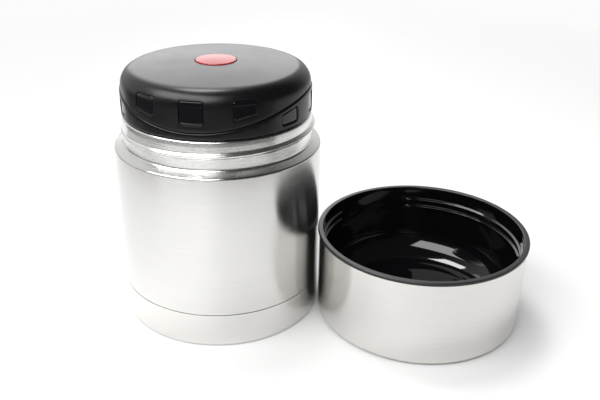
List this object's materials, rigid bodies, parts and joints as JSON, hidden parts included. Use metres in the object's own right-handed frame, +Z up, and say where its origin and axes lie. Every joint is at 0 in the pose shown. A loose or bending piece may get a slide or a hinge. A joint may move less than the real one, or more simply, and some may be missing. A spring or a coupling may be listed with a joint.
{
  "type": "insulated food jar",
  "caption": "Double-walled steel food jar with a black screw stopper, a red push-button vent and a steel cup with a black liner set beside it.",
  "frame": {"origin": "centre of the jar's base, on the surface that it stands on", "axes": "+Z up along the jar's axis; +X from the jar to the cup that stands beside it"},
  "size_m": [0.2047, 0.1044, 0.1275],
  "materials": {
    "brushed_shell": "brushed around the axis",
    "base_steel": "fine brushed",
    "inner_steel": "electropolished",
    "braze": "dull",
    "getter_metal": "sintered",
    "foil": "bright foil",
    "silicone": "satin translucent",
    "matte_black": "fine matte grain",
    "satin_black": "satin",
    "gloss_black": "gloss",
    "foam": "rigid foam",
    "red_plastic": "gloss",
    "valve_plastic": "satin",
    "spring_steel": "bright wire",
    "cup_steel": "brushed around the axis",
    "liner_black": "gloss, satin rim"
  },
  "bodies": {
    "jar": {"outer_shell": "brushed_shell", "base_cover": "base_steel", "inner_flask": "inner_steel", "vessel_bottom": "inner_steel", "vacuum_seal": "braze", "getter": "getter_metal", "reflective_foil": "foil"},
    "stopper_seal": {"stopper_gasket": "silicone"},
    "stopper": {"stopper_cover": "matte_black", "stopper_skirt": "satin_black", "stopper_body": "gloss_black", "plug_base": "satin_black", "insulation_core": "foam", "valve_spring": "spring_steel"},
    "vent_valve": {"vent_button": "red_plastic", "valve_stem": "valve_plastic", "valve_seal": "silicone"},
    "cup": {"cup_shell": "cup_steel", "cup_liner": "liner_black"}
  },
  "joints": [
    {"name": "stopper_rise", "type": "slide", "parent": "jar", "child": "stopper_seal", "axis": [0, 0, 1], "range_m": [0, 0.036]},
    {"name": "stopper_turn", "type": "hinge", "parent": "stopper_seal", "child": "stopper", "pos_m": [0, 0, 0.09], "axis": [0, 0, 1], "range_deg": [0, 1080]},
    {"name": "button_press", "type": "slide", "parent": "stopper", "child": "vent_valve", "axis": [0, 0, -1], "range_m": [0, 0.002], "stiffness_N_per_m": 400, "springref_m": -0.002, "deforming": ["valve_spring"]},
    {"name": "cup_lift", "type": "slide", "parent": "jar", "child": "cup", "axis": [0, 0, 1], "range_m": [0, 0.15]}
  ],
  "couplings": [
    {"joint": "stopper_rise", "follows": "stopper_turn", "m_per_rad": 0.0019098}
  ]
}
